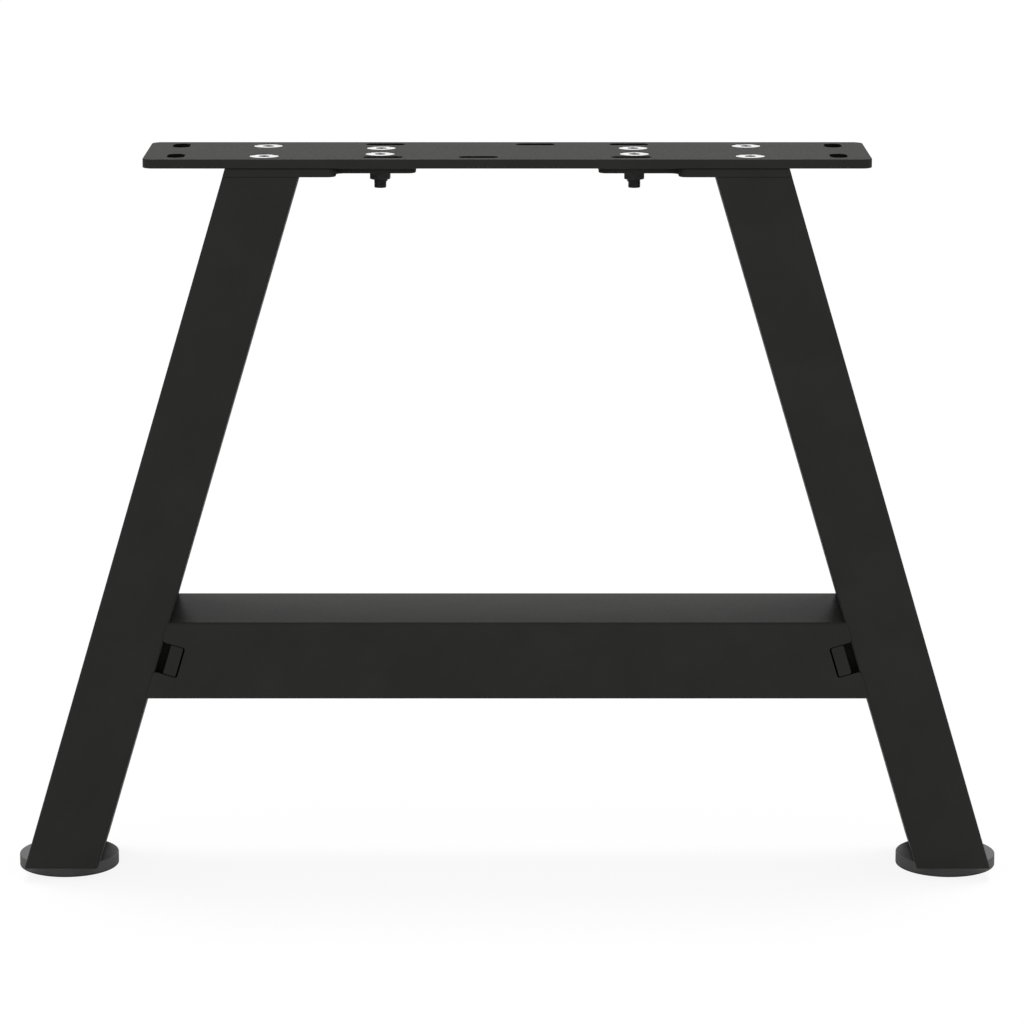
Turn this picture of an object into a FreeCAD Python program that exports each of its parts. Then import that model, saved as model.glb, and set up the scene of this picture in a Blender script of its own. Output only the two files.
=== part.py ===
import FreeCAD, Part
import math
import os

# An A-shaped trestle table leg: slotted top plate, two leaning tubes, one stretcher, two foot discs.
# Millimetres. Origin on the floor, midway between the feet. X runs along the plate, Y is the depth.

# Whole leg
overall_height = 720.0
head_spread = 472.0  # between the legs' centre lines, under their flanges
foot_spread = 884.0  # between the legs' centre lines, at their lower ends

# Top plate
plate_overhang = 79.1  # past the legs' outer faces
plate_margin = 1.0  # past the legs' front and back faces
plate_thickness = 8.9
plate_corner_radius = 10.0
edge_round = 0.8

# Slots and oblong holes for fixing the tabletop
end_hole_inset = 30.8
end_hole_edge = 27.0  # from the plate's long edges to the holes' centres
end_hole_width = 17.0
end_hole_length = 29.0
slot_width = 13.0
slot_length = 38.5
slot_setback = 3.5  # of the outer slots' centres from the tongue bolts, towards the middle
slot_margin = 4.5  # between a slot and the tongue beside it
centre_slot_x = 27.5

# Leg tubes
leg_width = 69.8
leg_depth = 127.0
tube_wall = 2.0
tube_corner_radius = 3.0
least_inner_radius = 0.5

# Flanges with their tongues
flange_thickness = 8.5
flange_reach = 35.6  # past the leg's inner face, towards the middle
flange_corner_radius = 8.0
rounding_share = 0.45  # the most of a short side that one corner's rounding takes
tongue_length = 76.0

# Countersunk screws and bolts
thread_diameter = 12.0
hole_clearance = 1.0
head_diameter = 28.0
head_land = 0.4
head_recess = 0.3
socket_width = 10.0
socket_depth = 4.5
thread_chamfer = 1.0
bolt_row = 43.0
bolt_inset = 34.6  # from the tongue's end
bolt_edge = 14.5  # from the tongue's sides
bolt_overrun = 8.3  # below the nut
leg_screw_edge = 26.0  # from the leg's front and back faces
leg_screw_grip = 8.3  # in the weld nut

# Nuts
nut_width = 19.0
nut_height = 7.0
weld_nut_height = 10.0
nut_turn = 26.0  # degrees from X to a corner

# Stretcher and its joints to the legs
stretcher_clearance = 187.1  # above the floor
stretcher_height = 77.0
end_lip = 1.6  # of the stretcher over the legs' rounded corners
end_plate_thickness = 8.0
end_plate_setback = 20.0  # from the stretcher's front and back faces
bar_thickness = 12.4
bar_height = 29.8
bar_recess = 0.5
bar_corner_radius = 1.5
notch_clearance = 0.9  # above and below the bar
notch_end_clearance = 1.8  # behind the bar
notch_corner_radius = 2.5
notch_mouth_radius = 3.5
joint_bolt_diameter = 10.0
joint_bolt_edge = 14.0  # from the end plate's sides
joint_bolt_overrun = 1.0
joint_head_diameter = 16.0
joint_head_height = 10.0
joint_socket_width = 8.0
joint_socket_depth = 5.0
washer_diameter = 20.0
washer_thickness = 2.0
access_clearance = 2.0

# Feet
foot_plate_thickness = 6.0
disc_diameter = 99.0
disc_thickness = 12.0
disc_edge_round = 1.0
boss_diameter = 50.0
boss_height = 1.5
foot_screw_diameter = 8.0
foot_screw_overrun = 2.0
foot_head_diameter = 14.0
foot_head_height = 4.4
foot_socket_width = 5.0
foot_socket_depth = 2.5
head_pocket_depth = 7.0
head_pocket_clearance = 4.0

# Levels and places that follow
flange_top = overall_height - plate_thickness
flange_bottom = flange_top - flange_thickness
leg_bottom = disc_thickness + boss_height
stretcher_mid = stretcher_clearance + stretcher_height / 2
lean_slope = (foot_spread - head_spread) / 2 / (flange_bottom - leg_bottom)
lean = math.atan(lean_slope)
leg_half_span = leg_width / 2 / math.cos(lean)
inner_corner_radius = max(tube_corner_radius - tube_wall, least_inner_radius)
hole_diameter = thread_diameter + hole_clearance
joint_hole_diameter = joint_bolt_diameter + hole_clearance
far = 2 * (overall_height + foot_spread)
up = FreeCAD.Vector(0, 0, 1)
middle = FreeCAD.Vector(0, 0, 0)


def leg_x(level):
    return head_spread / 2 + (flange_bottom - level) * lean_slope


tongue_depth = bolt_row + 2 * bolt_edge
slot_row = tongue_depth + slot_width + 2 * slot_margin
plate_depth = leg_depth + 2 * plate_margin
plate_length = 2 * (leg_x(flange_top) + leg_half_span + plate_overhang)
end_hole_x = plate_length / 2 - end_hole_inset
leg_screw_x = leg_x(flange_top)
flange_inner_x = head_spread / 2 - leg_half_span - flange_reach
tongue_end_x = flange_inner_x - tongue_length
bolt_x = tongue_end_x + bolt_inset
slot_x = bolt_x - slot_setback
foot_x = leg_x(leg_bottom + foot_plate_thickness)
end_hole_row = plate_depth - 2 * end_hole_edge
leg_screw_row = leg_depth - 2 * leg_screw_edge
end_plate_depth = leg_depth - 2 * end_plate_setback
joint_bolt_row = end_plate_depth - 2 * joint_bolt_edge

# The joint's own frame: origin on the right leg's axis, X out of the leg, Z up along it
bar_offset = leg_width / 2 + end_plate_thickness + bar_thickness / 2
joint_level = stretcher_mid + bar_offset * math.sin(lean)
inner_face = -leg_width / 2
lip_face = inner_face + end_lip
bar_face = inner_face - end_plate_thickness


def leaned(shape):
    shape.rotate(middle, FreeCAD.Vector(0, 1, 0), -math.degrees(lean))
    shape.translate(FreeCAD.Vector(leg_x(joint_level), 0, joint_level))
    return shape


def mirrored(shape):
    return shape.mirror(middle, FreeCAD.Vector(1, 0, 0))


def block(low, high):
    size = [top - bottom for bottom, top in zip(low, high)]
    return Part.makeBox(*size, FreeCAD.Vector(*low))


def is_upright(edge):
    return abs(edge.tangentAt(edge.FirstParameter).z) > 0.99


def round_uprights(solid, radius):
    return solid.makeFillet(radius, [edge for edge in solid.Edges if is_upright(edge)])


def round_rims(solid, radius):
    levels = (solid.BoundBox.ZMin, solid.BoundBox.ZMax)
    rims = []
    for edge in solid.Edges:
        if edge.BoundBox.ZLength < 0.001 and min(abs(edge.CenterOfMass.z - z) for z in levels) < 0.001:
            rims.append(edge)
    return solid.makeFillet(radius, rims)


def rod(diameter, bottom, top, x=0, y=0):
    return Part.makeCylinder(diameter / 2, top - bottom, FreeCAD.Vector(x, y, bottom))


def hexagon(width, bottom, top, turn=0):
    corner = width / 2 / math.cos(math.pi / 6)
    points = []
    for step in range(7):
        angle = math.radians(turn + 60 * step)
        points.append(FreeCAD.Vector(corner * math.cos(angle), corner * math.sin(angle), bottom))
    return Part.Face(Part.makePolygon(points)).extrude(up * (top - bottom))


def turned(outline):
    points = [FreeCAD.Vector(radius, 0, level) for radius, level in outline]
    return Part.Face(Part.makePolygon(points + points[:1])).revolve(middle, up, 360)


def oblong(width, length, along_x):
    straight = (length - width) / 2
    low, high = flange_bottom, overall_height + plate_thickness
    size = (straight, width / 2) if along_x else (width / 2, straight)
    ends = [(-straight, 0), (straight, 0)] if along_x else [(0, -straight), (0, straight)]
    body = block((-size[0], -size[1], low), (size[0], size[1], high))
    return body.fuse([rod(width, low, high, x, y) for x, y in ends]).removeSplitter()


def at(shape, x, y, level=0):
    placed = shape.copy()
    placed.translate(FreeCAD.Vector(x, y, level))
    return placed


def four_places(x, row):
    return [(side * x, end * row / 2) for side in (-1, 1) for end in (-1, 1)]


def make_top_plate():
    half = (plate_length / 2, plate_depth / 2)
    plate = block((-half[0], -half[1], flange_top), (half[0], half[1], overall_height))
    plate = round_rims(round_uprights(plate, plate_corner_radius), edge_round)
    slot = oblong(slot_width, slot_length, True)
    end_hole = oblong(end_hole_width, end_hole_length, False)
    cuts = [at(slot, x, y) for x, y in four_places(slot_x, slot_row)]
    cuts += [at(slot, side * centre_slot_x, side * slot_row / 2) for side in (-1, 1)]
    cuts += [at(end_hole, x, y) for x, y in four_places(end_hole_x, end_hole_row)]
    return plate.cut(cuts + screw_holes())


def screw_holes():
    mouth = head_diameter / 2 + head_recess + head_land
    seat_depth = mouth - hole_diameter / 2
    countersink = Part.makeCone(hole_diameter / 2, mouth, seat_depth, up * (overall_height - seat_depth))
    hole = countersink.fuse(rod(hole_diameter, flange_bottom, overall_height))
    places = four_places(leg_screw_x, leg_screw_row) + four_places(bolt_x, bolt_row)
    return [at(hole, x, y) for x, y in places]


def tube_prism(inset, radius):
    half_width = leg_width / 2 - inset
    half_depth = leg_depth / 2 - inset
    prism = block((-half_width, -half_depth, -far), (half_width, half_depth, far))
    return leaned(round_uprights(prism, radius))


def level_band(bottom, top):
    return block((-far, -far, bottom), (far, far, top))


def make_leg_tube():
    tube = tube_prism(0, tube_corner_radius).common(level_band(leg_bottom, flange_bottom))
    hollow = tube_prism(tube_wall, inner_corner_radius)
    holes = []
    for y in joint_bolt_places():
        holes.append(joint_rod(joint_hole_diameter, inner_face - tube_wall, 0, y))
        holes.append(joint_rod(washer_diameter + access_clearance, 0, leg_width, y))
    return tube.cut([hollow] + holes)


def make_leg_flange():
    outer_x = head_spread / 2 + leg_half_span
    wide = block((flange_inner_x, -leg_depth / 2, flange_bottom), (outer_x, leg_depth / 2, flange_top))
    tongue_base = flange_inner_x + leg_half_span
    half = tongue_depth / 2
    tongue = block((tongue_end_x, -half, flange_bottom), (tongue_base, half, flange_top))
    plate = wide.fuse(tongue).removeSplitter()
    corners = [e for e in plate.Edges if is_upright(e) and e.CenterOfMass.x < tongue_base]
    radius = min(flange_corner_radius, rounding_share * (leg_depth - tongue_depth) / 2)
    plate = round_rims(plate.makeFillet(radius, corners), edge_round)
    beyond_leg = leaned(block((leg_width / 2, -far, -far), (far, far, far)))
    return plate.cut([beyond_leg] + screw_holes())


def countersunk(length):
    radius = thread_diameter / 2
    head = head_diameter / 2
    outline = [(0, 0), (head, 0), (head, -head_land), (radius, -head_land - (head - radius))]
    outline += [(radius, thread_chamfer - length), (radius - thread_chamfer, -length), (0, -length)]
    return turned(outline).cut(hexagon(socket_width, -socket_depth, 0))


def hex_nut(height):
    corner = nut_width / 2 / math.cos(math.pi / 6)
    bevel = (corner - nut_width / 2) * math.tan(math.pi / 6)
    flat = nut_width / 2
    outline = [(0, 0), (flat, 0), (corner, bevel), (corner, height - bevel), (flat, height), (0, height)]
    nut = hexagon(nut_width, 0, height, nut_turn).common(turned(outline))
    return nut.cut(rod(thread_diameter, 0, height))


def make_leg_screws():
    screw = countersunk(plate_thickness - head_recess + flange_thickness + leg_screw_grip)
    top = overall_height - head_recess
    return Part.makeCompound([at(screw, x, y, top) for x, y in four_places(leg_screw_x, leg_screw_row)])


def make_leg_weld_nuts():
    nut = hex_nut(weld_nut_height)
    low = flange_bottom - weld_nut_height
    return Part.makeCompound([at(nut, x, y, low) for x, y in four_places(leg_screw_x, leg_screw_row)])


def make_tongue_bolts():
    bolt = countersunk(plate_thickness - head_recess + flange_thickness + nut_height + bolt_overrun)
    top = overall_height - head_recess
    return Part.makeCompound([at(bolt, x, y, top) for x, y in four_places(bolt_x, bolt_row)])


def make_tongue_nuts():
    nut = hex_nut(nut_height)
    low = flange_bottom - nut_height
    return Part.makeCompound([at(nut, x, y, low) for x, y in four_places(bolt_x, bolt_row)])


def along_x(depth, bottom, top, radius):
    prism = block((bottom, -depth / 2, -far), (top, depth / 2, far))
    prism = round_uprights(prism, radius)
    prism.rotate(middle, FreeCAD.Vector(0, 1, 0), -90)
    return prism


def across_leg(low_x, high_x, height, depth, radius):
    prism = block((low_x, -height / 2, -depth / 2), (high_x, height / 2, depth / 2))
    prism = round_uprights(prism, radius)
    prism.rotate(middle, FreeCAD.Vector(1, 0, 0), 90)
    return prism


def joint_rod(diameter, low_x, high_x, y):
    start = FreeCAD.Vector(low_x, y, 0)
    return leaned(Part.makeCylinder(diameter / 2, high_x - low_x, start, FreeCAD.Vector(1, 0, 0)))


def joint_bolt_places():
    return (-joint_bolt_row / 2, joint_bolt_row / 2)


def make_notch():
    back = bar_face - bar_thickness - notch_end_clearance
    height = bar_height + 2 * notch_clearance
    notch = across_leg(back, 0, height, 2 * leg_depth, notch_corner_radius)
    pieces = []
    radius = notch_mouth_radius
    for side in (-1, 1):
        levels = sorted((side * height / 2, side * (height / 2 + radius)))
        corner = block((lip_face - radius, -leg_depth, levels[0]), (0, leg_depth, levels[1]))
        centre = FreeCAD.Vector(lip_face - radius, -leg_depth, side * (height / 2 + radius))
        lip = Part.makeCylinder(radius, 2 * leg_depth, centre, FreeCAD.Vector(0, 1, 0))
        pieces.append(corner.cut(lip))
    return leaned(notch.fuse(pieces))


def make_stretcher_tube():
    low, high = stretcher_clearance, stretcher_clearance + stretcher_height
    tube = along_x(leg_depth, low, high, tube_corner_radius)
    hollow = along_x(leg_depth - 2 * tube_wall, low + tube_wall, high - tube_wall, inner_corner_radius)
    leg_side = leaned(block((lip_face, -far, -far), (far, far, far)))
    leg = tube_prism(0, tube_corner_radius)
    notch = make_notch()
    tube = tube.cut([leg_side, mirrored(leg_side)]).cut([leg, mirrored(leg)])
    return tube.cut([hollow, notch, mirrored(notch)])


def make_stretcher_end_plate():
    slab = leaned(block((bar_face, -end_plate_depth / 2, -far), (inner_face, end_plate_depth / 2, far)))
    low = stretcher_clearance + tube_wall
    high = stretcher_clearance + stretcher_height - tube_wall
    holes = [joint_rod(joint_hole_diameter, bar_face, inner_face, y) for y in joint_bolt_places()]
    return slab.common(level_band(low, high)).cut(holes)


def make_anchor_bar():
    depth = leg_depth - 2 * bar_recess
    back = bar_face - bar_thickness
    bar = leaned(across_leg(back, bar_face, bar_height, depth, bar_corner_radius))
    return bar.cut([joint_rod(joint_bolt_diameter, back, bar_face, y) for y in joint_bolt_places()])


def make_stretcher_bolts():
    seat = inner_face + tube_wall + washer_thickness
    tip = bar_face - bar_thickness - joint_bolt_overrun
    bolts = []
    for y in joint_bolt_places():
        shank = joint_rod(joint_bolt_diameter, tip, seat, y)
        head = joint_rod(joint_head_diameter, seat, seat + joint_head_height, y)
        top = seat + joint_head_height
        socket = hexagon(joint_socket_width, 0, joint_socket_depth)
        socket.rotate(middle, FreeCAD.Vector(0, 1, 0), 90)
        socket.translate(FreeCAD.Vector(top - joint_socket_depth, y, 0))
        bolts.append(shank.fuse(head).removeSplitter().cut(leaned(socket)))
    return Part.makeCompound(bolts)


def make_stretcher_washers():
    seat = inner_face + tube_wall
    washers = []
    for y in joint_bolt_places():
        ring = joint_rod(washer_diameter, seat, seat + washer_thickness, y)
        washers.append(ring.cut(joint_rod(joint_hole_diameter, seat, seat + washer_thickness, y)))
    return Part.makeCompound(washers)


def make_foot_plate():
    top = leg_bottom + foot_plate_thickness
    plate = tube_prism(tube_wall, inner_corner_radius).common(level_band(leg_bottom, top))
    return plate.cut(rod(foot_screw_diameter, leg_bottom, top, foot_x))


def make_foot_disc():
    disc = round_rims(rod(disc_diameter, 0, disc_thickness), disc_edge_round)
    disc = disc.fuse(rod(boss_diameter, disc_thickness / 2, leg_bottom)).removeSplitter()
    pocket = rod(foot_head_diameter + head_pocket_clearance, 0, head_pocket_depth)
    hole = rod(foot_screw_diameter + hole_clearance, 0, leg_bottom)
    return at(disc.cut([pocket, hole]), foot_x, 0)


def make_foot_screw():
    tip = leg_bottom + foot_plate_thickness + foot_screw_overrun
    low = head_pocket_depth - foot_head_height
    head = rod(foot_head_diameter, low, head_pocket_depth)
    screw = rod(foot_screw_diameter, low, tip).fuse(head).removeSplitter()
    return at(screw.cut(hexagon(foot_socket_width, low, low + foot_socket_depth)), foot_x, 0)


def save(name, shape):
    shape.exportStep(f"parts/{name}.step")


os.makedirs("parts", exist_ok=True)

save("top_plate", make_top_plate())
save("leg_screws", make_leg_screws())
save("leg_weld_nuts", make_leg_weld_nuts())
save("tongue_bolts", make_tongue_bolts())
save("tongue_nuts", make_tongue_nuts())
save("stretcher_tube", make_stretcher_tube())

paired = {
    "leg_tube": make_leg_tube,
    "leg_flange": make_leg_flange,
    "foot_plate": make_foot_plate,
    "foot_disc": make_foot_disc,
    "foot_screw": make_foot_screw,
    "stretcher_end_plate": make_stretcher_end_plate,
    "anchor_bar": make_anchor_bar,
    "stretcher_bolts": make_stretcher_bolts,
    "stretcher_washers": make_stretcher_washers,
}
for name, make in paired.items():
    right = make()
    save(f"right_{name}", right)
    save(f"left_{name}", mirrored(right))
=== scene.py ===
import math

import bpy
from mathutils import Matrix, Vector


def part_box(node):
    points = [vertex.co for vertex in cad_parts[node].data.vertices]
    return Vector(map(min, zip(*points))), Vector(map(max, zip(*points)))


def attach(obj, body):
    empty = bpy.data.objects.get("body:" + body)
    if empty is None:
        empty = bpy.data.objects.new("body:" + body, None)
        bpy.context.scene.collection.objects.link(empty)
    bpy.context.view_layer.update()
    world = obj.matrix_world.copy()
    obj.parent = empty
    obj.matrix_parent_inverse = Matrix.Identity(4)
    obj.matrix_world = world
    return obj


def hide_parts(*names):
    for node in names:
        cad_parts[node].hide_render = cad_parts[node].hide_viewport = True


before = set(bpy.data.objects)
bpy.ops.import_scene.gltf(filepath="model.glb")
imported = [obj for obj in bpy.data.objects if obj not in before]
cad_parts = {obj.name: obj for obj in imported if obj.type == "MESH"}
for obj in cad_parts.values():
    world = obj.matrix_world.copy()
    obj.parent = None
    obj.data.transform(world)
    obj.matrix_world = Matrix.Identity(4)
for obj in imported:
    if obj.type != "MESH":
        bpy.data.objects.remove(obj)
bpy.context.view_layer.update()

bpy.context.scene.view_settings.view_transform = "Standard"
mm = 0.001
slack = 0.1 * mm  # when asking where a face or a corner lies
hair = 0.001 * mm  # the same, for corners on one level


# picking and placing

def pickNone():
    active = bpy.context.object
    if active and active.mode != "OBJECT":
        bpy.ops.object.mode_set(mode="OBJECT")
    bpy.ops.object.select_all(action="DESELECT")


def pick(piece):
    pickNone()
    piece.select_set(True)
    bpy.context.view_layer.objects.active = piece


def clearPicks(piece, kind):
    # object mode, with nothing of the mesh picked
    pick(piece)
    bpy.ops.object.mode_set(mode="EDIT")
    bpy.ops.mesh.select_mode(type=kind)
    bpy.ops.mesh.select_all(action="DESELECT")
    bpy.ops.object.mode_set(mode="OBJECT")


def pickEdges(piece, test):
    # edit mode with only the edges that pass the test
    clearPicks(piece, "EDGE")
    spots = piece.data.vertices
    for edge in piece.data.edges:
        first, second = (spots[index].co for index in edge.vertices)
        edge.select = test(first, second)
    bpy.ops.object.mode_set(mode="EDIT")


def step(drop, scale=1.0, level=0.0):
    # one more ring: the picked cap moves down by drop and is scaled about the axis
    bpy.ops.mesh.extrude_region_move(TRANSFORM_OT_translate={"value": (0, 0, -drop)})
    if scale != 1.0:
        bpy.ops.transform.resize(value=(scale, scale, 1), center_override=(0, 0, level))


def startDisc(name, sides, radius, turn=0.0):
    # edit mode with a filled disc picked, ready for steps; its first corner lies on Y
    pickNone()
    bpy.ops.mesh.primitive_circle_add(
        vertices=sides, radius=radius, fill_type="NGON", rotation=(0, 0, turn))
    piece = bpy.context.object
    piece.name = name
    bpy.ops.object.transform_apply(location=True, rotation=True, scale=True)
    bpy.ops.object.mode_set(mode="EDIT")
    bpy.ops.mesh.select_all(action="SELECT")
    return piece


def endDisc(piece):
    bpy.ops.mesh.select_all(action="SELECT")
    bpy.ops.mesh.normals_make_consistent(inside=False)
    bpy.ops.object.mode_set(mode="OBJECT")
    return piece


def discard(piece):
    bpy.data.objects.remove(piece, do_unlink=True)


def cut(piece, cutter, operation="DIFFERENCE"):
    pick(piece)
    modifier = piece.modifiers.new("cut", "BOOLEAN")
    modifier.operation = operation
    modifier.solver = "EXACT"
    modifier.object = cutter
    bpy.ops.object.modifier_apply(modifier="cut")
    discard(cutter)


def softenEdges(piece, test, width, segments):
    pickEdges(piece, test)
    bpy.ops.mesh.bevel(offset=width, segments=segments, affect="EDGES", clamp_overlap=True)
    bpy.ops.object.mode_set(mode="OBJECT")


def copyTo(piece, name, x, y, z):
    pick(piece)
    bpy.ops.object.duplicate()
    twin = bpy.context.object
    twin.name = name
    twin.location = (x, y, z)
    bpy.ops.object.transform_apply(location=True, rotation=True, scale=True)
    return twin


# parts of a finish

def newFinish(name):
    finish = bpy.data.materials.new(name)
    finish.use_nodes = True
    shader = finish.node_tree.nodes["Principled BSDF"]
    return finish, finish.node_tree.nodes, finish.node_tree.links, shader


def objectPlace(nodes):
    return nodes.new("ShaderNodeTexCoord").outputs["Object"]


def facing(nodes):
    return nodes.new("ShaderNodeNewGeometry").outputs["True Normal"]


def noise(nodes, links, place, scale, detail):
    node = nodes.new("ShaderNodeTexNoise")
    node.inputs["Scale"].default_value = scale
    node.inputs["Detail"].default_value = detail
    links.new(place, node.inputs["Vector"])
    return node.outputs["Fac"]


def spread(nodes, links, value, low, high, fromLow=0.3, fromHigh=0.7):
    # the value is taken for a noise, mostly within the from range, unless another is given
    node = nodes.new("ShaderNodeMapRange")
    node.inputs["From Min"].default_value = fromLow
    node.inputs["From Max"].default_value = fromHigh
    node.inputs["To Min"].default_value = low
    node.inputs["To Max"].default_value = high
    links.new(value, node.inputs["Value"])
    return node.outputs["Result"]


def ramp(nodes, links, value, stops):
    # two stops, each a place and a colour
    node = nodes.new("ShaderNodeValToRGB")
    for element, (place, colour) in zip(node.color_ramp.elements, stops):
        element.position = place
        element.color = (*colour, 1)
    links.new(value, node.inputs["Fac"])
    return node.outputs["Color"]


def bump(nodes, links, height, depth, normal=None):
    node = nodes.new("ShaderNodeBump")
    node.inputs["Distance"].default_value = depth
    links.new(height, node.inputs["Height"])
    if normal is not None:
        links.new(normal, node.inputs["Normal"])
    return node.outputs["Normal"]


def scaled(nodes, links, colour, factor):
    node = nodes.new("ShaderNodeVectorMath")
    node.operation = "SCALE"
    links.new(colour, node.inputs[0])
    links.new(factor, node.inputs["Scale"])
    return node.outputs["Vector"]


def maths(nodes, links, operation, *values):
    # each value is a number or the output of another node
    node = nodes.new("ShaderNodeMath")
    node.operation = operation
    for socket, value in zip(node.inputs, values):
        if isinstance(value, float):
            socket.default_value = value
        else:
            links.new(value, socket)
    return node.outputs[0]


def axes(nodes, links, vector):
    node = nodes.new("ShaderNodeSeparateXYZ")
    links.new(vector, node.inputs[0])
    return node.outputs


def below(nodes, links, value, limit):
    # 1 where the value lies within the limit either side of 0
    size = maths(nodes, links, "ABSOLUTE", value)
    return maths(nodes, links, "LESS_THAN", size, limit)


def bow(nodes, links, place, half):
    # 1 halfway between front and back, 0 at both
    across = maths(nodes, links, "DIVIDE", axes(nodes, links, place)["Y"], half)
    square = maths(nodes, links, "MULTIPLY", across, across)
    return maths(nodes, links, "SUBTRACT", 1.0, square)


paintedShadeRays = 8  # sent from each spot to feel for holes and gaps, where shade is painted into the colour


def paintHollowShade(nodes, links, colour, reach, share, span):
    # painted shade: full colour on open faces, darkened down to its share in holes and gaps
    # narrower than the reach; the span is how much of the surroundings shows, from deep to open
    hollow = nodes.new("ShaderNodeAmbientOcclusion")
    hollow.samples = paintedShadeRays
    hollow.inputs["Distance"].default_value = reach
    factor = spread(nodes, links, hollow.outputs["AO"], share, 1.0, *span)
    return scaled(nodes, links, colour, factor)


# finishes

powderCoat = {
    "colours": [(0.35, (0.0206, 0.0206, 0.0196)), (0.65, (0.0229, 0.0229, 0.0218))],
    "mottle": {"scale": 22.0, "detail": 4.0},
    "peel": {"scale": 520.0, "detail": 2.0},  # orange peel, about 2 mm
    "peelDepth": 0.04 * mm,
    "grain": {"scale": 2400.0, "detail": 1.0},
    "grainDepth": 0.012 * mm,
    "satin": {"roughLow": 0.49, "roughHigh": 0.57, "specular": 0.05, "paintedLightLift": 1.0},
    # the stretcher's smoother copy of the coat is painted 15% lighter, as painted light
    "smoothSatin": {"roughLow": 0.31, "roughHigh": 0.37, "specular": 0.011, "paintedLightLift": 1.15},
    # painted shade in holes and gaps: how far it feels, how dark it gets, and over what span
    "paintedShadeReach": 9.0 * mm,
    "paintedShadeShare": 0.08,  # of the colour left as painted shade deep in holes and gaps
    "plainPaintedShadeSpan": (0.15, 0.6),
    "platePaintedShadeSpan": (0.45, 1.0),  # draws painted shade lines above and below the flanges
    "cutWallShadeShare": 0.2,  # of the colour left as painted shade on the walls cut through the plate
    "cutMargin": 3.0 * mm,  # these walls lie this far inside the plate's outline
    "cutUpright": 0.5,  # and face up or down by less than this
    "wallBow": 0.8 * mm,  # the middle of a tube's wide wall stands out by this
    "wallHalf": 63.5 * mm,
}


def paintCutWallShade(nodes, links, colour, place, node):
    # painted shade: upright walls inside the outline of a flat node keep only a share of the
    # colour
    low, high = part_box(node)
    halfWidth, halfDepth = (high.x - low.x) / 2, (high.y - low.y) / 2
    margin = powderCoat["cutMargin"]
    spot = axes(nodes, links, place)
    inWidth = below(nodes, links, spot["X"], halfWidth - margin)
    inDepth = below(nodes, links, spot["Y"], halfDepth - margin)
    rise = axes(nodes, links, facing(nodes))["Z"]
    upright = below(nodes, links, rise, powderCoat["cutUpright"])
    inside = maths(nodes, links, "MULTIPLY", inWidth, inDepth)
    isCut = maths(nodes, links, "MULTIPLY", inside, upright)
    share = spread(nodes, links, isCut, 1.0, powderCoat["cutWallShadeShare"], 0.0, 1.0)
    return scaled(nodes, links, colour, share)


def makePowderCoat(name, span="plainPaintedShadeSpan", gloss="satin", bowed=False, cutNode=None):
    finish, nodes, links, shader = newFinish(name)
    place = objectPlace(nodes)
    mottle = noise(nodes, links, place, **powderCoat["mottle"])
    peel = noise(nodes, links, place, **powderCoat["peel"])
    grain = noise(nodes, links, place, **powderCoat["grain"])
    glossAndPaintedLift = powderCoat[gloss]
    # the colours are scaled by the painted light lift
    stops = []
    for stop, shade in powderCoat["colours"]:
        stops.append((stop, [glossAndPaintedLift["paintedLightLift"] * part for part in shade]))
    colour = ramp(nodes, links, mottle, stops)
    # painted shade in holes and gaps, darker where less of the surroundings shows
    reach, share = powderCoat["paintedShadeReach"], powderCoat["paintedShadeShare"]
    colour = paintHollowShade(nodes, links, colour, reach, share, powderCoat[span])
    # painted shade on the walls cut through the plate
    if cutNode:
        colour = paintCutWallShade(nodes, links, colour, place, cutNode)
    links.new(colour, shader.inputs["Base Color"])
    rough = spread(nodes, links, peel, glossAndPaintedLift["roughLow"], glossAndPaintedLift["roughHigh"])
    links.new(rough, shader.inputs["Roughness"])
    shader.inputs["Specular IOR Level"].default_value = glossAndPaintedLift["specular"]
    normal = bump(nodes, links, peel, powderCoat["peelDepth"])
    normal = bump(nodes, links, grain, powderCoat["grainDepth"], normal)
    if bowed:
        height = bow(nodes, links, place, powderCoat["wallHalf"])
        normal = bump(nodes, links, height, powderCoat["wallBow"], normal)
    links.new(normal, shader.inputs["Normal"])
    return finish


brightZinc = {
    "colours": [(0.3, (0.86, 0.87, 0.88)), (0.7, (0.95, 0.95, 0.95))],
    "cloud": {"scale": 240.0, "detail": 3.0},
    "scratch": {"scale": 2600.0, "detail": 2.0},
    "scratchDepth": 0.006 * mm,
    "roughLow": 0.15,
    "roughHigh": 0.24,
}


def makeBrightZinc():
    finish, nodes, links, shader = newFinish("brightZincPlate")
    place = objectPlace(nodes)
    cloud = noise(nodes, links, place, **brightZinc["cloud"])
    scratch = noise(nodes, links, place, **brightZinc["scratch"])
    links.new(ramp(nodes, links, cloud, brightZinc["colours"]), shader.inputs["Base Color"])
    rough = spread(nodes, links, cloud, brightZinc["roughLow"], brightZinc["roughHigh"])
    links.new(rough, shader.inputs["Roughness"])
    shader.inputs["Metallic"].default_value = 1.0
    links.new(bump(nodes, links, scratch, brightZinc["scratchDepth"]), shader.inputs["Normal"])
    return finish


# the sockets are painted near black, as painted shade in the recess
socketPaintedShade = {
    "colours": [(0.3, (0.012, 0.012, 0.013)), (0.7, (0.030, 0.030, 0.030))],
    "cloud": {"scale": 420.0, "detail": 3.0},
    "roughLow": 0.42,
    "roughHigh": 0.58,
}


def makeSocketPaintedShade():
    finish, nodes, links, shader = newFinish("zincSocketPaintedShade")
    cloud = noise(nodes, links, objectPlace(nodes), **socketPaintedShade["cloud"])
    links.new(ramp(nodes, links, cloud, socketPaintedShade["colours"]), shader.inputs["Base Color"])
    rough = spread(nodes, links, cloud, socketPaintedShade["roughLow"], socketPaintedShade["roughHigh"])
    links.new(rough, shader.inputs["Roughness"])
    shader.inputs["Metallic"].default_value = 1.0
    return finish


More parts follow.
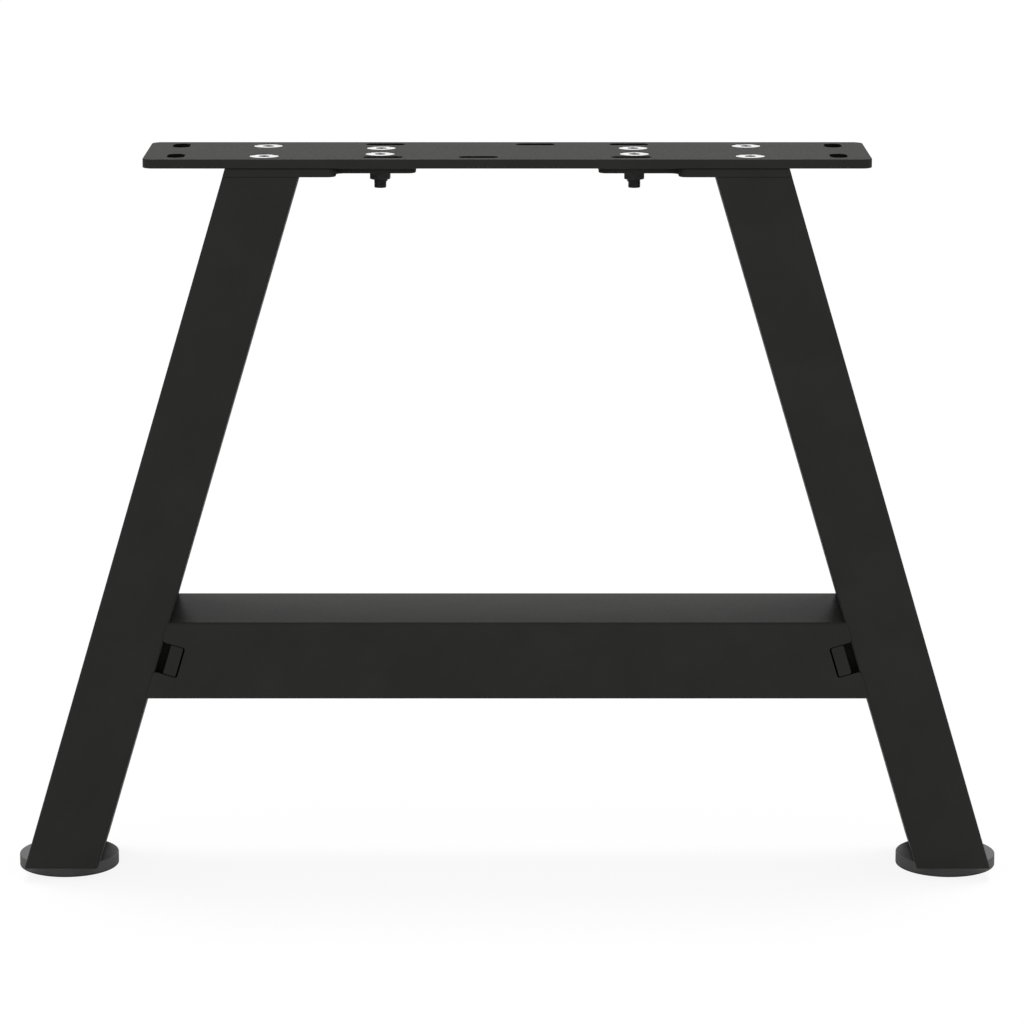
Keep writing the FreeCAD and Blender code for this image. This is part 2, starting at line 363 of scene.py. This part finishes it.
blackOxide = {
    "colours": [(0.3, (0.012, 0.012, 0.013)), (0.7, (0.022, 0.022, 0.022))],
    "cloud": {"scale": 300.0, "detail": 3.0},
    "grain": {"scale": 2800.0, "detail": 2.0},
    "grainDepth": 0.01 * mm,
    "roughLow": 0.48,
    "roughHigh": 0.64,
    "specular": 0.18,
}


def makeBlackOxide():
    finish, nodes, links, shader = newFinish("blackOxide")
    place = objectPlace(nodes)
    cloud = noise(nodes, links, place, **blackOxide["cloud"])
    grain = noise(nodes, links, place, **blackOxide["grain"])
    links.new(ramp(nodes, links, cloud, blackOxide["colours"]), shader.inputs["Base Color"])
    rough = spread(nodes, links, cloud, blackOxide["roughLow"], blackOxide["roughHigh"])
    links.new(rough, shader.inputs["Roughness"])
    shader.inputs["Specular IOR Level"].default_value = blackOxide["specular"]
    links.new(bump(nodes, links, grain, blackOxide["grainDepth"]), shader.inputs["Normal"])
    return finish


footRubber = {
    "colours": [(0.3, (0.073, 0.073, 0.073)), (0.7, (0.083, 0.083, 0.082))],
    "cloud": {"scale": 90.0, "detail": 3.0},
    "grain": {"scale": 1500.0, "detail": 2.0},
    "grainDepth": 0.03 * mm,
    "roughLow": 0.44,
    "roughHigh": 0.52,
    "sideRough": 0.38,  # more than on the flat top
    "topFacing": (0.2, 0.9),  # from side to top
    # painted shade in gaps, such as the shadow under the leg
    "paintedShadeReach": 5.0 * mm,
    "paintedShadeShare": 0.3,
    "paintedShadowSpan": (0.5, 0.85),  # draws a painted shadow line under the leg
    "specular": 0.43,
}


def makeFootRubber():
    finish, nodes, links, shader = newFinish("darkFootRubber")
    place = objectPlace(nodes)
    cloud = noise(nodes, links, place, **footRubber["cloud"])
    grain = noise(nodes, links, place, **footRubber["grain"])
    colour = ramp(nodes, links, cloud, footRubber["colours"])
    # painted shade in gaps and the painted shadow under the leg
    reach, share, span = (footRubber[key] for key in ("paintedShadeReach", "paintedShadeShare", "paintedShadowSpan"))
    links.new(paintHollowShade(nodes, links, colour, reach, share, span), shader.inputs["Base Color"])
    rough = spread(nodes, links, grain, footRubber["roughLow"], footRubber["roughHigh"])
    rise = axes(nodes, links, facing(nodes))["Z"]
    more = spread(nodes, links, rise, footRubber["sideRough"], 0.0, *footRubber["topFacing"])
    links.new(maths(nodes, links, "ADD", rough, more), shader.inputs["Roughness"])
    shader.inputs["Specular IOR Level"].default_value = footRubber["specular"]
    links.new(bump(nodes, links, grain, footRubber["grainDepth"]), shader.inputs["Normal"])
    return finish


finishes = {
    "powder_coat": makePowderCoat("satinBlackPowderCoat"),
    # the plate and flange copies of the coat carry stronger painted shade in gaps
    "plate_coat": makePowderCoat("satinBlackPlateCoat", "platePaintedShadeSpan", cutNode="top_plate"),
    "flange_coat": makePowderCoat("satinBlackFlangeCoat", "platePaintedShadeSpan"),
    "tube_coat": makePowderCoat("satinBlackTubeCoat", bowed=True),
    "stretcher_coat": makePowderCoat("satinBlackStretcherCoat", gloss="smoothSatin", bowed=True),
    "bright_zinc": makeBrightZinc(),
    "socket_painted_shade": makeSocketPaintedShade(),
    "black_oxide": makeBlackOxide(),
    "foot_rubber": makeFootRubber(),
}
print("finishes made:", len(finishes))


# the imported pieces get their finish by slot

slotOfNode = {
    "leg_screws": "bright_zinc",
    "tongue_bolts": "bright_zinc",
    "tongue_nuts": "black_oxide",
    "leg_weld_nuts": "black_oxide",
    "left_foot_disc": "foot_rubber",
    "right_foot_disc": "foot_rubber",
    "left_foot_screw": "black_oxide",
    "right_foot_screw": "black_oxide",
    "left_stretcher_bolts": "black_oxide",
    "right_stretcher_bolts": "black_oxide",
    "left_stretcher_washers": "black_oxide",
    "right_stretcher_washers": "black_oxide",
    "top_plate": "plate_coat",
    "left_leg_flange": "flange_coat",
    "right_leg_flange": "flange_coat",
    "stretcher_tube": "stretcher_coat",
    "left_leg_tube": "tube_coat",
    "right_leg_tube": "tube_coat",
}
for name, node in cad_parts.items():
    slotName = slotOfNode.get(name, "powder_coat")
    for materialSlot in node.material_slots:
        materialSlot.material = finishes[slotName]
print("packed pieces finished:", len(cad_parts))


# countersunk screws, threaded bolts and nuts, modelled once and copied

hardware = {
    "sides": 72,
    "headRadius": 14.0 * mm,
    "headLand": 0.4 * mm,
    "shankRadius": 6.0 * mm,
    "socketWidth": 10.0 * mm,
    "socketDepth": 4.0 * mm,
    "socketTip": 0.5 * mm,  # the drill's cone under the socket
    "socketPoint": 0.05,  # of the socket's width, at the cone's point
    "cutterRise": 1.0 * mm,  # of the socket's cutter above the head
    "rimSoft": {"width": 0.25 * mm, "segments": 3},
    "mouthSoft": {"width": 0.08 * mm, "segments": 2},
    "threadPitch": 1.25 * mm,
    "threadDepth": 0.36 * mm,
    "threadRoot": 0.2,  # of half a pitch
    "threadFlank": 0.65,  # of half a pitch
    "threadRows": 12,  # rings to a pitch
    "threadLength": 12.0 * mm,
    "threadCrest": 5.97 * mm,
    "endInset": 0.4 * mm,  # keeps the flat end apart from the thread
    "tipLength": 0.9 * mm,
    "tipRadius": 5.2 * mm,
    "blackAbove": 1.0 * mm,  # the blackening reaches this far above the thread
    "smoothAngle": 32.0,  # degrees, sharper edges stay sharp
}


def hexCorner(width):
    return width / 2 / math.cos(math.pi / 6)


def makeSocket():
    depth, tip, rise = (hardware[key] for key in ("socketDepth", "socketTip", "cutterRise"))
    cutter = startDisc("socketCutter", 6, hexCorner(hardware["socketWidth"]))
    bpy.ops.transform.translate(value=(0, 0, rise))
    step(rise + depth)
    step(tip, hardware["socketPoint"], -depth - tip)
    return endDisc(cutter)


def atTop(first, second):
    return abs(first.z) < hair and abs(second.z) < hair


def makeCountersunk(name, length):
    head, land, shank = (hardware[key] for key in ("headRadius", "headLand", "shankRadius"))
    piece = startDisc(name, hardware["sides"], head)
    step(land)
    coneDepth = head - shank
    step(coneDepth, shank / head, -land - coneDepth)
    step(length - land - coneDepth)
    endDisc(piece)
    cut(piece, makeSocket())
    midway = (head + hardware["socketWidth"] / 2) / 2  # between the rim and the socket's mouth
    softenEdges(piece, lambda a, b: atTop(a, b) and a.xy.length > midway, **hardware["rimSoft"])
    softenEdges(piece, lambda a, b: atTop(a, b) and a.xy.length < midway, **hardware["mouthSoft"])
    return piece


def threadRadius(angle, depth):
    # flat crest and root, straight flanks, turning with the angle
    turn = (depth / hardware["threadPitch"] + angle / (2 * math.pi)) % 1.0
    wave = abs(2 * turn - 1)
    ridge = min(max((wave - hardware["threadRoot"]) / hardware["threadFlank"], 0.0), 1.0)
    return hardware["threadCrest"] - hardware["threadDepth"] * (1 - ridge)


def addThread(piece, length):
    # rings drawn down from the shank's end, then pressed in along the thread
    clearPicks(piece, "FACE")
    for face in piece.data.polygons:
        face.select = face.center.z < slack - length
    bpy.ops.object.mode_set(mode="EDIT")
    ringDrop = hardware["threadPitch"] / hardware["threadRows"]
    rings = round(hardware["threadLength"] / ringDrop)
    for ring in range(rings):
        step(ringDrop)
    bpy.ops.mesh.inset(thickness=hardware["endInset"])
    bpy.ops.object.mode_set(mode="OBJECT")
    end = length + rings * ringDrop
    flare = (hardware["threadCrest"] - hardware["tipRadius"]) / hardware["tipLength"]
    for spot in piece.data.vertices:
        depth = -spot.co.z
        onThread = depth > length - hair and spot.co.xy.length > hardware["shankRadius"] - slack
        if onThread:
            angle = math.atan2(spot.co.y, spot.co.x)
            atTip = hardware["tipRadius"] + flare * (end - depth)
            radius = min(threadRadius(angle, depth), atTip)
            spot.co.x = radius * math.cos(angle)
            spot.co.y = radius * math.sin(angle)


def paintParts(piece, plainLength):
    # 0 bright head and shank, 1 socket painted near black as shade, 2 blackened thread
    for name in ("bright_zinc", "socket_painted_shade", "black_oxide"):
        piece.data.materials.append(finishes[name])
    reach = hexCorner(hardware["socketWidth"])
    floorLevel = -hardware["socketDepth"] - 2 * hardware["socketTip"]
    blackLevel = hardware["blackAbove"] - plainLength
    for face in piece.data.polygons:
        inSocket = face.center.xy.length < reach and floorLevel < face.center.z < -slack
        threaded = face.center.z < blackLevel
        face.material_index = 1 if inSocket else 2 if threaded else 0


nutShape = {
    "width": 19.0 * mm,
    "bore": 6.0 * mm,  # radius
    "boreMouth": 6.7 * mm,
    "turn": -64.0,  # degrees from Y to a corner
    "edgeSoft": {"width": 0.3 * mm, "segments": 2},
    "chamferAngle": 30.0,
    "faceShare": 0.985,  # of the width, the round flat inside the chamfer
    "sides": 72,
}


def makeNut(name, height):
    flat, corner = nutShape["width"] / 2, hexCorner(nutShape["width"])
    piece = startDisc(name, 6, corner, math.radians(nutShape["turn"]))
    step(height)
    endDisc(piece)
    softenEdges(piece, lambda a, b: abs(a.z - b.z) > height / 2, **nutShape["edgeSoft"])
    face = flat * nutShape["faceShare"]
    chamfer = (corner - flat) * math.tan(math.radians(nutShape["chamferAngle"]))
    turned = startDisc("nutChamfer", nutShape["sides"], face)
    step(chamfer, corner / face, -chamfer)
    step(height - 2 * chamfer)
    step(chamfer, face / corner, -height)
    cut(piece, endDisc(turned), "INTERSECT")
    bore, mouth = nutShape["bore"], nutShape["boreMouth"]
    flare = mouth - bore
    drill = startDisc("nutDrill", nutShape["sides"], mouth)
    step(flare, bore / mouth, -flare)
    step(height - 2 * flare)
    step(flare, mouth / bore, -height)
    cut(piece, endDisc(drill))
    return piece


def seat(piece, node):
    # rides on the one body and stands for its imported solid
    pick(piece)
    bpy.ops.object.shade_smooth_by_angle(angle=math.radians(hardware["smoothAngle"]))
    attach(piece, "root")
    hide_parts(node)


def fourPlaces(node):
    # axes of four like heads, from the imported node's box
    low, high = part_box(node)
    x, y = high.x - hardware["headRadius"], high.y - hardware["headRadius"]
    return {"leftFront": (-x, -y), "leftBack": (-x, y), "rightFront": (x, -y), "rightBack": (x, y)}


def placeFour(piece, node, places):
    # a copy on each axis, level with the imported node's top
    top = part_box(node)[1].z
    for corner, (x, y) in places.items():
        seat(copyTo(piece, piece.name + "_" + corner, x, y, top), node)
    discard(piece)


low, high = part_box("leg_screws")
screw = makeCountersunk("legScrew", high.z - low.z)
paintParts(screw, high.z - low.z)
placeFour(screw, "leg_screws", fourPlaces("leg_screws"))
print("leg screws placed")

low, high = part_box("tongue_bolts")
plainLength = high.z - low.z - hardware["threadLength"]
bolt = makeCountersunk("tongueBolt", plainLength)
addThread(bolt, plainLength)
paintParts(bolt, plainLength)
placeFour(bolt, "tongue_bolts", fourPlaces("tongue_bolts"))
print("tongue bolts placed")

low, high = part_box("tongue_nuts")
nut = makeNut("tongueNut", high.z - low.z)
nut.data.materials.append(finishes["black_oxide"])
placeFour(nut, "tongue_nuts", fourPlaces("tongue_bolts"))
print("tongue nuts placed")


# camera at the photograph's place

shot = {
    "distance": 4.0407,
    "height": 1.2534,
    "pitch": 12.4498,  # degrees down from level
    "lens": 147.295,
    "sensor": 36.0,
    "shiftX": 0.00466,
    "farthest": 100.0,
}
lensData = bpy.data.cameras.new("camera")
lensData.lens = shot["lens"]
lensData.sensor_width = shot["sensor"]
lensData.shift_x = shot["shiftX"]
lensData.clip_end = shot["farthest"]
camera = bpy.data.objects.new("camera", lensData)
camera.location = (0, -shot["distance"], shot["height"])
camera.rotation_euler = (math.radians(90 - shot["pitch"]), 0, 0)
bpy.context.scene.collection.objects.link(camera)
bpy.context.scene.camera = camera
print("camera set")


# floor, surroundings and lamp

studio = {
    "floorSize": 60.0,
    "floorDrop": 0.2 * mm,  # keeps it off the discs' undersides
    "floorColour": (0.92, 0.92, 0.92, 1),
    "white": (1, 1, 1, 1),
    "whiteShare": 0.88,  # of the floor that shows plain white, the rest takes the shadow
    "roomLight": 0.8,
}
softbox = {
    "back": 9.0,  # degrees from straight down, towards the back
    "spread": 18.0,
    "level": 0.45,
    "height": 3.0,
}


def seenDirectly(nodes, links):
    # 1 for camera, glossy and transmission rays
    ray = nodes.new("ShaderNodeLightPath").outputs
    either = maths(nodes, links, "MAXIMUM", ray["Is Camera Ray"], ray["Is Glossy Ray"])
    return maths(nodes, links, "MAXIMUM", either, ray["Is Transmission Ray"])


pickNone()
bpy.ops.mesh.primitive_plane_add(size=studio["floorSize"], location=(0, 0, -studio["floorDrop"]))
floor = bpy.context.object
floor.name = "floor"
floorFinish, nodes, links, shader = newFinish("paleFloor")
nodes.remove(shader)
lit = nodes.new("ShaderNodeBsdfDiffuse")
lit.inputs["Color"].default_value = studio["floorColour"]
white = nodes.new("ShaderNodeEmission")
white.inputs["Color"].default_value = studio["white"]
share = maths(nodes, links, "MULTIPLY", seenDirectly(nodes, links), studio["whiteShare"])
blend = nodes.new("ShaderNodeMixShader")
links.new(share, blend.inputs["Fac"])
links.new(lit.outputs[0], blend.inputs[1])
links.new(white.outputs[0], blend.inputs[2])
fromBelow = nodes.new("ShaderNodeMixShader")  # clear from underneath
links.new(nodes.new("ShaderNodeNewGeometry").outputs["Backfacing"], fromBelow.inputs["Fac"])
links.new(blend.outputs[0], fromBelow.inputs[1])
links.new(nodes.new("ShaderNodeBsdfTransparent").outputs[0], fromBelow.inputs[2])
links.new(fromBelow.outputs[0], nodes["Material Output"].inputs["Surface"])
floor.data.materials.append(floorFinish)

room = bpy.data.worlds.new("room")
bpy.context.scene.world = room
room.use_nodes = True
nodes, links = room.node_tree.nodes, room.node_tree.links
strength = spread(nodes, links, seenDirectly(nodes, links), studio["roomLight"], 1.0, 0.0, 1.0)
nodes["Background"].inputs["Color"].default_value = studio["white"]
links.new(strength, nodes["Background"].inputs["Strength"])

lampData = bpy.data.lights.new("overheadSoftbox", "SUN")
lampData.angle = math.radians(softbox["spread"])
lampData.energy = softbox["level"] * math.pi
lamp = bpy.data.objects.new("overheadSoftbox", lampData)
lamp.location = (0, 0, softbox["height"])
lamp.rotation_euler = (math.radians(-softbox["back"]), 0, 0)
bpy.context.scene.collection.objects.link(lamp)
print("studio set")
